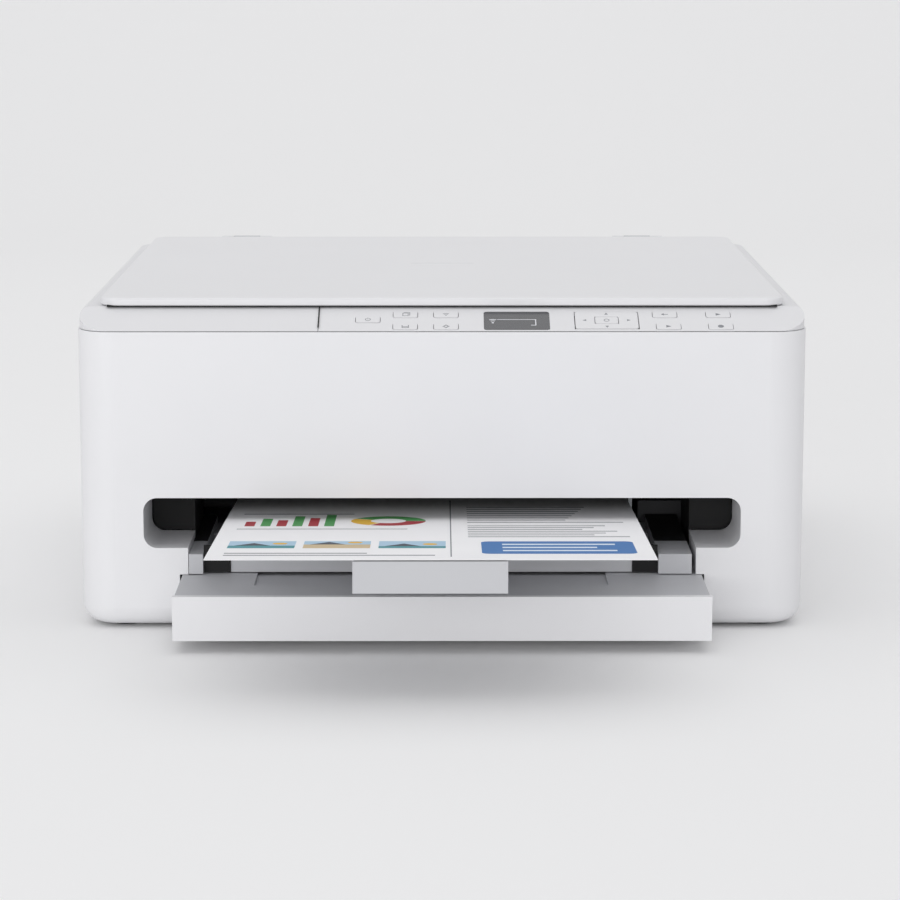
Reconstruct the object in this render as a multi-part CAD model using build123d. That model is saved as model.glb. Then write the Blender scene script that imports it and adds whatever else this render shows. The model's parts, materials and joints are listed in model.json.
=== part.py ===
from build123d import *
import math
import os

# Housing
body_width = 372
body_depth = 350
corner_radius = 19
bottom_radius = 10
wall = 2.5
foot_height = 1.5
floor_wall = 2
panel_wall = 2.5
flange_width = 36
parting_z = 154
panel_gap = 0.4
fit_gap = 0.3
running_gap = 0.05
side_groove_z = 90
side_groove_size = 1

# Front opening, with its wings, middle slot and cassette slot
opening_top = 68.8
wing_half = 152.6
wing_floor = 42.8
wing_radius = 7
slot_half = 130
deck_z = 28.7
reveal_depth = 47
reveal_wall = 2
liner_wall = 2
liner_depth = 53
liner_height = 2

# Paper and its slope, rising towards the front
sheet_width = 210
sheet_length = 297
sheet_thickness = 0.25
sheet_x = -5.3
sheet_front = -150
path_angle = 3.9
path_z = 57.5

# Output tray and its two tongues
tray_front = 5
tray_back = 108
tray_half = 103
tray_wall = 2
tray_rib = 1.5
arm_height = 10.2
left_arm_width = 7.2
right_arm_inset = 19.2
right_arm_width = 17
tongue_half = 36
tongue_travel = 75
tongue_hold = 10
tongue_height = 4.6
tongue_floor = 1.3
tongue_gap = 0.5
tab_height = 15
tab_thickness = 3.5

# Cassette
cassette_half = 134
cassette_reach = 52
cassette_wall = 2.5
cassette_floor_z = 6.3
cassette_floor = 1.5
cassette_back = body_depth - 92
front_tray_back = 60
deck_back = 88
deck_thickness = 2.5
recess_half = 89.4
recess_front = -24
recess_depth = 1.2
front_panel = 4
guide_half = sheet_width / 2
guide_travel = 50
guide_height = 14
guide_front = 110
guide_back = 200

# Rollers, gears and their axes
feed_y = 170
feed_radius = 6
eject_y = 120
eject_radius = 5
star_radius = 4
gear_module = 1
feed_teeth = 36
idler_teeth = 16
eject_teeth = 32
gear_face = 4.5
shaft_radius = 3
turn_y = body_depth - 50
turn_z = 45
turn_radius = 18
turn_width = 22
turn_pitch = 64
turn_steps = (-1, 0, 1)
pickup_y = 190
pickup_z = 36
pickup_reach = 38
pickup_radius = 9
nip_gap = 0.3

# Engine frame
power_bay = 36
board_bay = 16
frame_left = power_bay - body_width / 2
frame_right = body_width / 2 - board_bay
bracket_x = sheet_x + sheet_width / 2 + 2.3
sheet_metal = 2
frame_front = 96
frame_back = body_depth - 20
frame_top = 114
bridge_z = 29.5
rail_y = 188
rail_z = 75
rail_radius = 4
belt_y = 214
belt_z = 95
belt_width = 5
belt_thickness = 1.2
pulley_radius = 6
pulley_left = frame_left + 14
pulley_right = frame_right - 12
motor_radius = 11.5

# Carriage
carriage_left = frame_right - 70
carriage_width = 64
carriage_front = 112
carriage_back = 180
carriage_floor = 62
carriage_top = 112
head_front = 132
head_back = 160
head_z = 50.6
cartridge_gap = 1

# Scanner unit
unit_inset = 0.8
rim_z = parting_z + 9.9
rim_radius = 3
band_front = 1.5
band_back = 27
band_z = parting_z + 0.3
frame_plate = 2.5
unit_skirt = 3
hinge_y = body_depth - 4.5
hinge_z = parting_z + 0.15
hinge_open = 40
hinge_pin = 2
hinge_barrel = 4
hinge_x = body_width / 2 - 36
hinge_length = 20
base_half = body_width / 2 - 5.5
base_z = parting_z - 36
base_wall = 2
base_front = 30
base_back = body_depth - 12
glass_half = 155
glass_front = 58
glass_back = body_depth - 62
glass_thickness = 3
glass_seat = 4
cis_width = 18
cis_left = 5 - glass_half
cis_rib = 6
cis_y = (glass_front + glass_back) / 2
panel_left = -63

# Document cover
lid_half = body_width / 2 - 10
lid_front = 25
lid_back = body_depth - 9.1
lid_z = rim_z + 0.4
lid_thickness = 4.2
lid_radius = 10
lid_edge = 1.5
lid_axis_y = body_depth - 6.5
lid_barrel = 2.2
lid_pin = 1.45
lid_leg_x = 120
lid_leg_width = 16
lid_leg_depth = 4.4
lid_leg_z = parting_z - 16
lid_lug = 7.5
mark_half = 18
mark_y = (lid_front + lid_back) / 2 + 6
mark_width = 1.4
mark_depth = 0.4

# Keys on the sloping band, with y measured up the slope
key_size = (12.3, 6.5)
key_proud = 0.2
key_flange = 0.8
key_travel = 0.6
upper_row = 17.9
lower_row = 5
power_row = 12.5
nav_size = (32, 18)
nav_x = 83.8
nav_row = 11.6
ok_size = (11.7, 7)
display_size = (33.5, 20)
display_x = 38
display_row = 11.4
display_thickness = 1.2
key_places = {
    "power_key": (-37.8, power_row),
    "copy_key": (-18.7, upper_row),
    "scan_key": (-18.7, lower_row),
    "wifi_key": (2, upper_row),
    "setup_key": (2, lower_row),
    "back_key": (113.7, upper_row),
    "start_mono_key": (115, lower_row),
    "start_colour_key": (141, upper_row),
    "stop_key": (141.5, lower_row),
}

# Rear
cover_half = 128
cover_low = 18
cover_high = 100
cover_wall = 2.2
cover_rib = 2
cover_rib_steps = (-1.5, -1.25, -0.75, -0.25, 0.25, 0.75, 1.25, 1.5)
turn_gap = 1.5
inlet_x = 38 - body_width / 2
inlet_z = 30
inlet_size = (20, 14)
usb_x = body_width / 2 - 28
usb_z = 46
usb_size = (12, 11)
board_length = 140
board_height = 90

front_y = -(body_depth + sheet_front) / 2
path_slope = math.tan(math.radians(path_angle))


def block(x, y, z):
    low = [pair[0] for pair in (x, y, z)]
    size = [pair[1] - pair[0] for pair in (x, y, z)]
    return Pos(*low) * Box(*size, align=(Align.MIN, Align.MIN, Align.MIN))


def plate(half, y, z, radius):
    middle = (y[0] + y[1]) / 2
    outline = RectangleRounded(2 * half, y[1] - y[0], radius)
    return Pos(0, middle, z[0]) * extrude(outline, z[1] - z[0])


def rod(x, y, z, radius):
    return Pos(x[0], y, z) * Rot(0, 90, 0) * Cylinder(radius, x[1] - x[0], align=(Align.CENTER, Align.CENTER, Align.MIN))


def post(x, y, z, radius):
    return Pos(x, y, z[0]) * Cylinder(radius, z[1] - z[0], align=(Align.CENTER, Align.CENTER, Align.MIN))


def along_x(points, x):
    """A profile given as (y, z) points, extruded between two x values."""
    outline = Plane((x[0], 0, 0), x_dir=(0, 1, 0), z_dir=(1, 0, 0)) * Polygon(*points, align=None)
    return extrude(outline, x[1] - x[0], dir=(1, 0, 0))


def facing_front(sketch, y):
    """A sketch in x and z, extruded from y[0] back to y[1]."""
    return extrude(Plane((0, y[1], 0), x_dir=(1, 0, 0), z_dir=(0, -1, 0)) * sketch, y[1] - y[0])


def path_height(y):
    return path_z - y * path_slope


def on_path(shape):
    """Puts a shape drawn with the paper plane at z = 0 onto the sloping paper path."""
    return Pos(0, 0, path_z) * Rot(-path_angle, 0, 0) * shape


def on_band(shape):
    """Puts a shape drawn on a flat panel, y up the slope, onto the control band."""
    return Pos(0, band_front, band_z) * Rot(band_angle, 0, 0) * shape


band_angle = math.degrees(math.atan2(rim_z - band_z, band_back - band_front))
feed_z = path_height(feed_y) - nip_gap - feed_radius
eject_z = path_height(eject_y) - nip_gap - eject_radius
unit_half = body_width / 2 - unit_inset
unit_bottom = parting_z + fit_gap
plate_under = rim_z - frame_plate


def body_form(inset, z):
    inner = max(corner_radius - inset, 1)
    return plate(body_width / 2 - inset, (inset, body_depth - inset), z, inner)


def opening_sketch(grow=0):
    wing_height = opening_top - wing_floor
    wings = Pos(0, wing_floor + wing_height / 2) * RectangleRounded(
        2 * (wing_half + grow), wing_height + 2 * grow, wing_radius + grow)
    slot_height = wing_floor - deck_z + wing_radius
    slot = Pos(0, deck_z + slot_height / 2) * Rectangle(2 * (slot_half + grow), slot_height)
    return wings + slot


def main_cover():
    outer = body_form(0, (foot_height, parting_z))
    outer = fillet(outer.edges().group_by(Axis.Z)[0], bottom_radius)
    inner = body_form(wall, (foot_height + floor_wall, parting_z + 1))
    inner = fillet(inner.edges().group_by(Axis.Z)[0], bottom_radius - wall)
    shell = outer - inner - body_form(flange_width, (0, foot_height + floor_wall + 1))
    rear_half = body_width / 2 - corner_radius + panel_gap
    shell -= block((-rear_half, rear_half), (body_depth - wall - panel_gap, body_depth + 1),
                   (foot_height + floor_wall, parting_z + 1))
    floor_top = foot_height + floor_wall + panel_wall
    slot_wide = cassette_half + panel_gap
    shell -= facing_front(opening_sketch(), (-1, 2 * wall))
    shell -= block((-slot_wide, slot_wide), (-1, 2 * wall), (floor_top, deck_z + fit_gap))
    duct = facing_front(opening_sketch(reveal_wall) - opening_sketch(), (wall - 0.5, reveal_depth))
    shell += duct - block((-body_width, body_width), (wall, body_depth), (0, deck_z + 2 * fit_gap))
    for side in (-1, 1):
        edge = side * body_width / 2
        ends = sorted((edge - side * side_groove_size / 2, edge + side))
        shell -= block(ends, (corner_radius, body_depth - corner_radius),
                       (side_groove_z, side_groove_z + side_groove_size))
    return shell


def base_pan():
    low = foot_height + floor_wall
    pan = body_form(bottom_radius + panel_gap, (low, low + panel_wall))
    rail_low = low + panel_wall
    for side in (-1, 1):
        x = sorted((side * (cassette_half + 1.5), side * (cassette_half + 3.5)))
        pan += block(x, (bottom_radius + 2, cassette_back), (rail_low, deck_z - 5))
    return pan


def hinge_brackets():
    """Two ears and a pin on each side, screwed to the inside of the rear panel."""
    brackets = []
    for side in (-1, 1):
        ears = Part()
        middle = side * hinge_x
        reach = hinge_length / 2 + fit_gap
        for low in (middle - reach - 2.7, middle + reach):
            foot = block((low, low + 2.7), (hinge_y - hinge_barrel, body_depth - wall),
                         (hinge_z - 14, hinge_z - hinge_barrel))
            head = block((low, low + 2.7), (hinge_y - hinge_barrel, body_depth - wall - 1.8),
                         (hinge_z - hinge_barrel - 1, hinge_z + 3.2))
            ears += foot + head
        ears += rod((middle - reach - 2, middle + reach + 2), hinge_y, hinge_z, hinge_pin)
        brackets.append(ears)
    return brackets


def rear_panel():
    half = body_width / 2 - corner_radius
    low = foot_height + floor_wall + panel_wall
    panel = block((-half, half), (body_depth - wall, body_depth), (low, parting_z))
    panel -= block((-cover_half - panel_gap, cover_half + panel_gap), (0, body_depth + 1),
                   (cover_low - panel_gap, cover_high + panel_gap))
    for side in (-1, 1):
        reach = hinge_length / 2 + fit_gap
        middle = side * hinge_x
        panel -= rod((middle - reach, middle + reach), hinge_y, hinge_z, hinge_barrel + fit_gap)
    wide, high = inlet_size
    x = (inlet_x - wide / 2, inlet_x + wide / 2)
    panel -= block(x, (0, body_depth + 1), (inlet_z - high / 2, inlet_z + high / 2))
    wide, high = (side / 2 + fit_gap for side in usb_size)
    panel -= block((usb_x - wide, usb_x + wide), (0, body_depth + 1), (usb_z - high, usb_z + high))
    return Compound(children=[panel, *hinge_brackets()])


def opening_liner():
    start = reveal_depth + fit_gap
    face = opening_sketch(-0.6) - Pos(0, deck_z + 20) * Rectangle(2 * slot_half, 40 - 2 * fit_gap)
    liner = facing_front(face, (start, start + liner_wall))
    liner -= block((-slot_half, slot_half), (0, start + 5), (0, opening_top - liner_height - 1))
    top = opening_top + liner_height
    liner += block((-slot_half - 2, slot_half + 2), (start, start + liner_depth), (opening_top - 1, top - 1))
    for x in ((-slot_half - 2, -slot_half), (slot_half, slot_half + 2)):
        liner += block(x, (start, start + liner_depth), (deck_z + 2, top - 1))
    return liner


tray_x = sheet_x - 0.2
channel_half = tongue_half + running_gap + tray_wall + 2 * fit_gap
channel_depth = tongue_height + tongue_floor + tongue_gap + fit_gap


def output_tray():
    low = deck_z + 2 * fit_gap
    x = (tray_x - tray_half, tray_x + tray_half)
    front, back = tray_front, tray_back
    top = [path_height(front) - nip_gap, path_height(back) - nip_gap]
    body = along_x([(front, low), (back, low), (back, top[1]), (front, top[0])], x)
    inside = along_x([(front + tray_wall, low - 1), (back - tray_wall, low - 1),
                      (back - tray_wall, top[1] - tray_wall), (front + tray_wall, top[0] - tray_wall)],
                     (x[0] + tray_wall, x[1] - tray_wall))
    tray = body - inside
    channel_floor = -nip_gap - channel_depth
    for step in (-2, -1, 1, 2):
        middle = tray_x + step * tray_half / 3.2
        rib = along_x([(front, low), (back, low), (back, top[1]), (front, top[0])],
                      (middle - tray_rib / 2, middle + tray_rib / 2))
        tray += rib
    trough = block((tray_x - channel_half - tray_wall, tray_x + channel_half + tray_wall),
                   (front, back - 2), (channel_floor - tray_wall, -nip_gap))
    tray += on_path(trough) & body
    tray -= on_path(block((tray_x - channel_half, tray_x + channel_half),
                          (front - 20, back - tray_wall - 4), (channel_floor, 5)))
    beam_back = back - tray_wall
    arms = ((-slot_half + fit_gap, left_arm_width),
            (slot_half - right_arm_inset, right_arm_width))
    for start, width in arms:
        tray += block((start, start + width), (0, beam_back), (low, low + arm_height))
        inner = sorted((start + width / 2, x[0] + 1 if start < 0 else x[1] - 1))
        tray += block(inner, (beam_back - 30, beam_back), (low, low + 6))
    return tray


def tongue_1():
    back = tray_front + tongue_hold
    front = sheet_front + tongue_travel + tab_thickness + 2 * fit_gap
    half = tongue_half + running_gap + fit_gap
    low = -nip_gap - tongue_height - tongue_floor - tongue_gap
    tongue = block((tray_x - half - tray_wall, tray_x + half + tray_wall), (front, back), (low, -2 * nip_gap))
    tongue -= block((tray_x - half, tray_x + half), (front - 1, back + 1), (low + tongue_floor, 5))
    return on_path(tongue)


def tongue_2():
    back = tray_front + tongue_hold - tongue_travel
    low = -nip_gap - tongue_height
    x = (tray_x - tongue_half, tray_x + tongue_half)
    front = sheet_front + fit_gap
    tongue = block(x, (front, back), (low, -2 * nip_gap))
    tongue -= block((x[0] + 2, x[1] - 2), (front + tab_thickness, back + 1), (low - 1, -2 * nip_gap - 1.5))
    tab = block(x, (front, front + tab_thickness), (-nip_gap * 2 - tab_height, -2 * nip_gap))
    return on_path(tongue + tab)


def printed_sheet():
    x = (sheet_x - sheet_width / 2, sheet_x + sheet_width / 2)
    return on_path(block(x, (sheet_front, sheet_front + sheet_length), (0, sheet_thickness)))


def cassette_front():
    low = cassette_floor_z
    half = cassette_half
    front = -cassette_reach
    top = deck_z - deck_thickness
    tray = block((-half, half), (front, front_tray_back), (low, top))
    tray -= block((-half + cassette_wall, half - cassette_wall), (front + front_panel, front_tray_back + 1),
                  (low + cassette_floor, top + 1))
    tray += block((-half, half), (front, front + front_panel), (low, deck_z))
    return tray


def cassette_cover():
    half = cassette_half - 1
    front = -cassette_reach + front_panel
    deck = block((-half, half), (front, deck_back), (deck_z - deck_thickness, deck_z))
    x = (tray_x - recess_half, tray_x + recess_half)
    return deck - block(x, (recess_front, deck_back - 4), (deck_z - recess_depth, deck_z + 1))


base_outer = cassette_half - cassette_wall - fit_gap
base_floor_z = cassette_floor_z + cassette_floor + fit_gap


def cassette_base():
    low = base_floor_z
    top = deck_z - deck_thickness - fit_gap
    wall_in = 2
    tray = block((-base_outer, base_outer), (front_panel + fit_gap, cassette_back), (low, top))
    tray -= block((-base_outer + wall_in, base_outer - wall_in), (-1, cassette_back - wall_in),
                  (low + cassette_floor, top + 1))
    tray -= block((-base_outer - 1, base_outer + 1), (cassette_back - 30, cassette_back + 1), (low + 9, top + 1))
    tray -= block((-18, 18), (-1, guide_front - 10), (low - 1, low + cassette_floor + 1))
    clear = front_tray_back + cassette_reach + 4
    for side in (-1, 1):
        x = sorted((side * (base_outer - 3), side * base_outer))
        tray += block(x, (clear, cassette_back), (cassette_floor_z, low))
    return tray


def side_guide(side):
    low = base_floor_z + cassette_floor + fit_gap
    edge = sorted((side * (guide_half + 0.5), side * (guide_half + 2.5)))
    fence = block(edge, (guide_front, guide_back), (low, low + guide_height))
    foot = sorted((side * (guide_half - 30), side * (guide_half + 2.5)))
    middle = (guide_front + guide_back) / 2
    guide = fence + block(foot, (middle - 25, middle + 25), (low, low + cassette_floor))
    for reach in (-24, 22):
        gusset = along_x([(middle + reach, low), (middle + reach + 2, low), (middle + reach + 2, low + 10),
                          (middle + reach, low + 10)], sorted((side * (guide_half - 8), side * (guide_half + 1))))
        guide += gusset
    return guide


def length_guide():
    low = base_floor_z
    front = -cassette_reach + front_panel + 2
    fence = block((-15, 15), (front, front + 2), (low, low + guide_height))
    return fence + block((-15, 15), (front, front + 35), (low, low + cassette_floor))


def gear(teeth, x, y, z, bore, turn):
    """An involute spur gear whose axis runs along X, with a tooth pointing along -Y plus the turn."""
    pitch = gear_module * teeth / 2
    base = pitch * math.cos(math.radians(20))
    involute = math.tan(math.radians(20)) - math.radians(20)
    half_tooth = math.pi / (2 * teeth) * 0.9 + involute
    points = []
    radii = [pitch - 1.2 * gear_module, pitch, pitch + 0.9 * gear_module]
    for tooth in range(teeth):
        middle = math.pi + turn + 2 * math.pi * tooth / teeth
        flank = []
        for radius in radii:
            roll = math.acos(min(1, base / radius))
            flank.append((radius, half_tooth - (math.tan(roll) - roll)))
        for radius, angle in flank:
            points.append((radius * math.cos(middle - angle), radius * math.sin(middle - angle)))
        for radius, angle in reversed(flank):
            points.append((radius * math.cos(middle + angle), radius * math.sin(middle + angle)))
    outline = Plane((x[0], y, z), x_dir=(0, 1, 0), z_dir=(1, 0, 0)) * Polygon(*points, align=None)
    blank = extrude(outline, x[1] - x[0], dir=(1, 0, 0))
    web = pitch - 3 * gear_module
    if web > shaft_radius + 4:
        for spoke in range(5):
            angle = 2 * math.pi * spoke / 5
            reach = (web + shaft_radius + 2) / 2
            hole = (web - shaft_radius - 2) * 0.33
            blank -= rod((x[0] - 1, x[1] + 1), y + reach * math.cos(angle), z + reach * math.sin(angle), hole)
    return blank - rod((x[0] - 1, x[1] + 1), y, z, bore)


gear_x = (frame_left - 2.5 - gear_face, frame_left - 2.5)
train_angle = math.atan2(feed_z - eject_z, feed_y - eject_y)
idler_share = (feed_teeth + idler_teeth) / (feed_teeth + 2 * idler_teeth + eject_teeth)
idler_y = feed_y + (eject_y - feed_y) * idler_share
idler_z = feed_z + (eject_z - feed_z) * idler_share
idler_pin = 2


def paper_roller(y, z, radius, width, teeth, right):
    roller = rod((gear_x[0], right), y, z, shaft_radius)
    count = 5
    pitch = 190 / count
    for ring in range(count):
        middle = tray_x - 95 + pitch * (ring + 0.5)
        roller += rod((middle - width / 2, middle + width / 2), y, z, radius)
    return roller + gear(teeth, gear_x, y, z, shaft_radius - 0.5, train_angle)


def feed_roller():
    return paper_roller(feed_y, feed_z, feed_radius, 38, feed_teeth, bracket_x + sheet_metal)


def eject_roller():
    return paper_roller(eject_y, eject_z, eject_radius, 14, eject_teeth, bracket_x + sheet_metal)


def idler_gear():
    return gear(idler_teeth, gear_x, idler_y, idler_z, idler_pin + running_gap,
                train_angle + math.pi / idler_teeth)


star_z = path_height(eject_y) + sheet_thickness + nip_gap + star_radius
star_pin = 1.2
star_places = [tray_x + step * 48 for step in (-1.5, -0.5, 0.5, 1.5)]


def star_wheels():
    wheels = rod((star_places[0] - 8, star_places[-1] + 8), eject_y, star_z, star_pin)
    for x in star_places:
        wheels += rod((x - 0.6, x + 0.6), eject_y, star_z, star_radius)
    return wheels


def star_wheel_holder():
    low = star_z + star_radius + 0.6
    bar = block((frame_left + sheet_metal, bracket_x), (eject_y - 6, eject_y + 6), (low, carriage_floor - 1.2))
    for x in [star_places[0] - 5, *[place + 24 for place in star_places[:-1]], star_places[-1] + 5]:
        bar += block((x - 1.5, x + 1.5), (eject_y - 3, eject_y + 3), (star_z - 2, low))
        bar -= rod((x - 2, x + 2), eject_y, star_z, star_pin + running_gap)
    return bar


def pinch_holder():
    radius = 3.5
    axis = path_height(feed_y) + sheet_thickness + nip_gap + radius
    bar = block((frame_left + sheet_metal, bracket_x), (feed_y - 6, feed_y + 12), (axis + 2.5, carriage_floor - 2))
    for step in (-2, -1, 0, 1, 2):
        middle = tray_x + 38 * step
        bar += rod((middle - 12, middle + 12), feed_y, axis, radius)
    return bar


def platen():
    front = eject_y + eject_radius + 3
    back = feed_y - feed_radius - 3
    low = bridge_z + sheet_metal
    drop = 2.4
    x = (tray_x - sheet_width / 2 - 2, bracket_x)
    profile = [(front, low), (back, low), (back, path_height(back) - drop), (front, path_height(front) - drop)]
    body = along_x(profile, x)
    hollow = along_x([(front + 2, low + 2), (back - 2, low + 2), (back - 2, path_height(back) - drop - 2),
                      (front + 2, path_height(front) - drop - 2)], (x[0] + 2, x[1] + 1))
    body -= hollow
    for rib in range(13):
        middle = x[0] + 4 + rib * 16.5
        body += along_x([(front, path_height(front) - drop), (back, path_height(back) - drop),
                         (back, path_height(back) - nip_gap), (front, path_height(front) - nip_gap)],
                        (middle - 0.6, middle + 0.6))
    return body


def engine_frame():
    low = foot_height + floor_wall + panel_wall
    side = [(frame_front, deck_z + 3), (frame_front, frame_top), (belt_y + 36, frame_top),
            (frame_back, 70), (frame_back, low), (frame_front + 14, low)]
    left = along_x(side, (frame_left, frame_left + sheet_metal))
    right = along_x(side, (frame_right, frame_right + sheet_metal))
    across = (frame_left, frame_right + sheet_metal)
    bearing = 8
    bridge = block(across, (eject_y - bearing, pickup_y - bearing), (bridge_z, bridge_z + sheet_metal))
    bracket = block((bracket_x, bracket_x + sheet_metal), (eject_y - bearing, pickup_y + bearing),
                    (bridge_z, carriage_floor - 2))
    bracket -= block((bracket_x - 1, bracket_x + sheet_metal + 1), (head_front - 3, head_back + 3),
                     (head_z - 1, carriage_floor))
    back_plate = block(across, (belt_y + 18, belt_y + 18 + sheet_metal), (bridge_z + 31, frame_top))
    front_rail = block(across, (frame_front, frame_front + 10), (frame_top - 8, frame_top - 6))
    frame = left + right + bridge + bracket + back_plate + front_rail
    past = (frame_left - 1, frame_right + sheet_metal + 1)
    to_bracket = (frame_left - 1, bracket_x + sheet_metal + 1)
    for y, z, radius, reach in ((feed_y, feed_z, shaft_radius, to_bracket),
                                (eject_y, eject_z, shaft_radius, to_bracket),
                                (turn_y, turn_z, shaft_radius, past),
                                (pickup_y, pickup_z, shaft_radius - 0.5, to_bracket)):
        frame -= rod(reach, y, z, radius + running_gap)
    frame -= rod(past, rail_y, rail_z, rail_radius)
    frame += rod((gear_x[0] - 1, frame_left + 1), idler_y, idler_z, idler_pin)
    return frame


def carriage_rail():
    return rod((frame_left, frame_right + sheet_metal), rail_y, rail_z, rail_radius)


def turn_roller():
    roller = rod((frame_left - 1, frame_right + sheet_metal + 1), turn_y, turn_z, shaft_radius)
    for step in turn_steps:
        middle = tray_x + turn_pitch * step
        roller += rod((middle - turn_width / 2, middle + turn_width / 2), turn_y, turn_z, turn_radius)
    return roller


def pickup_arm():
    arm = rod((frame_left - 1, bracket_x + sheet_metal), pickup_y, pickup_z, shaft_radius - 0.5)
    back = pickup_y + pickup_reach
    for x in (-17, 14):
        cheek = along_x([(pickup_y - 5, pickup_z - 4), (back + 4, pickup_z - 3), (back + 4, pickup_z + 3),
                         (pickup_y - 5, pickup_z + 5)], (x, x + 3))
        arm += cheek
    arm += block((-16, 16), (pickup_y - 4, pickup_y + 22), (pickup_z + 3, pickup_z + 5))
    arm += rod((-16, 16), back, pickup_z, 2)
    return arm


def pickup_roller():
    back = pickup_y + pickup_reach
    roller = rod((-13.5, 13.5), back, pickup_z, pickup_radius)
    return roller - rod((-14, 14), back, pickup_z, 2 + running_gap)


def turn_guide():
    half = (frame_left + sheet_metal, frame_right)
    low = foot_height + floor_wall + panel_wall
    slope_front = cassette_back + 4
    under = turn_z - turn_radius - 3
    wedge = along_x([(slope_front, low), (turn_y + 18, low), (turn_y + 18, under - 4), (turn_y, under),
                     (slope_front + 18, under)], half)
    plate_low = [(feed_y + feed_radius + 8, path_height(feed_y) - 2.5), (turn_y - 22, turn_z + 13)]
    right = bracket_x - fit_gap
    upper = along_x([plate_low[0], plate_low[1], (plate_low[1][0], plate_low[1][1] + 3),
                     (plate_low[0][0], plate_low[0][1] + 2)], (half[0], right))
    guide = wedge + upper
    for x in (half[0], right - 3):
        guide += along_x([(slope_front, low), (slope_front + 12, low), (slope_front + 12, plate_low[1][1]),
                          (slope_front, plate_low[1][1] - 1.5)], (x, x + 3))
    return guide


def maintenance_unit():
    x = (bracket_x + sheet_metal + 3, frame_right - 2)
    y = (head_front - 22, head_back + 18)
    low = bridge_z + sheet_metal
    box = block(x, y, (low, head_z - 4)) - block((x[0] + 2, x[1] - 2), (y[0] + 2, y[1] - 2), (low + 2, head_z))
    cap_gap = 6
    cap_wide = (x[1] - x[0] - 3 * cap_gap) / 2
    for left in (x[0] + cap_gap, x[1] - cap_gap - cap_wide):
        cap = block((left, left + cap_wide), (head_front + 3, head_back - 3), (low + 1, head_z - nip_gap))
        cap -= block((left + 1.5, left + cap_wide - 1.5), (head_front + 4.5, head_back - 4.5),
                     (head_z - 4, head_z))
        box += cap
    return box


def belt_loop(radius):
    loop = block((pulley_left, pulley_right), (belt_y - radius, belt_y + radius),
                 (belt_z - belt_width / 2, belt_z + belt_width / 2))
    for x in (pulley_left, pulley_right):
        loop += post(x, belt_y, (belt_z - belt_width / 2, belt_z + belt_width / 2), radius)
    return loop


def timing_belt():
    inner = pulley_radius + fit_gap
    return belt_loop(inner + belt_thickness) - belt_loop(inner)


def pulley(x):
    half = belt_width / 2
    wheel = post(x, belt_y, (belt_z - half - 1, belt_z + half + 1), pulley_radius)
    return wheel + post(x, belt_y, (belt_z - half - 1.5, belt_z - half - 0.5), pulley_radius + 2)


idler_post = 2


def idler_pulley():
    return pulley(pulley_left) - post(pulley_left, belt_y, (belt_z - 9, belt_z + 9), idler_post + running_gap)


def carriage_motor():
    low = belt_z - 36
    motor = post(pulley_right, belt_y, (low, belt_z - 8), motor_radius)
    motor += post(pulley_right, belt_y, (belt_z - 9, belt_z), 2) + pulley(pulley_right)
    back = belt_y + 18
    motor += block((pulley_right - 12, frame_right), (belt_y + 6, back), (belt_z - 30, belt_z - 26))
    bracket = block((frame_left + sheet_metal, pulley_left + 5), (belt_y - 5, back), (belt_z - 8, belt_z - 6))
    post_part = post(pulley_left, belt_y, (belt_z - 7, belt_z + 6), idler_post)
    return motor, bracket + post_part


def carriage():
    x = (carriage_left, carriage_left + carriage_width)
    y = (carriage_front, carriage_back)
    body = block(x, y, (carriage_floor, carriage_top))
    middle = (x[0] + x[1]) / 2
    for low, high in ((x[0] + 2, middle - 1), (middle + 1, x[1] - 2)):
        body -= block((low, high), (y[0] + 2, y[1] - 2), (carriage_floor + 3, carriage_top + 1))
    body += block((x[0] + 5, x[1] - 5), (head_front, head_back), (head_z, carriage_floor))
    lip_low = frame_top - 6 + fit_gap
    body += block((x[0] + 6, x[1] - 6), (frame_front + 1, y[0] + 1), (lip_low, lip_low + 3))
    body += block(x, (y[1] - 1, rail_y + 8), (rail_z - 8, rail_z + 8))
    body -= rod((x[0] - 1, x[1] + 1), rail_y, rail_z, rail_radius + running_gap)
    body += block((middle - 12, middle + 12), (y[1] - 1, belt_y - pulley_radius - belt_thickness - 2 * fit_gap),
                  (belt_z - 4, belt_z + 4))
    return body


def cartridge(place):
    middle = carriage_left + carriage_width / 2
    low = carriage_left + 2 if place == 0 else middle + 1
    high = middle - 1 if place == 0 else carriage_left + carriage_width - 2
    y = (carriage_front + 2 + cartridge_gap, carriage_back - 2 - cartridge_gap)
    x = (low + cartridge_gap / 2, high - cartridge_gap / 2)
    floor_z = carriage_floor + 3
    tank = block(x, y, (floor_z, carriage_top - 6))
    tank = chamfer(tank.edges().filter_by(Axis.X).group_by(Axis.Z)[-1], 5)
    tab = block((x[0] + 6, x[1] - 6), (y[0], y[0] + 3), (carriage_top - 14, carriage_top - 2))
    return tank + tab


def power_supply():
    x = (-body_width / 2 + wall + 3, frame_left - sheet_metal - 2)
    low = foot_height + floor_wall + panel_wall
    case = block(x, (gear_clear, frame_back), (low, low + 62))
    case = fillet(case.edges().filter_by(Axis.Y), 3)
    for slot in range(8):
        y = gear_clear + 20 + slot * 12
        case -= block((x[0] + 6, x[1] - 6), (y, y + 4), (low + 60, low + 63))
    return case


gear_clear = feed_y + feed_teeth / 2 + 9


def ac_inlet():
    wide, high = inlet_size
    wide -= 2 * running_gap
    high -= 2 * running_gap
    x = (inlet_x - wide / 2, inlet_x + wide / 2)
    z = (inlet_z - high / 2, inlet_z + high / 2)
    body = block(x, (frame_back, body_depth), z)
    for side in (-1, 1):
        body -= Pos(inlet_x + side * 3.4, body_depth, inlet_z) * Rot(90, 0, 0) * Cylinder(3.6, 24)
    for side in (-1, 1):
        body += Pos(inlet_x + side * 4.3, body_depth - 8, inlet_z) * Rot(90, 0, 0) * Cylinder(1.2, 10)
    return body


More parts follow.
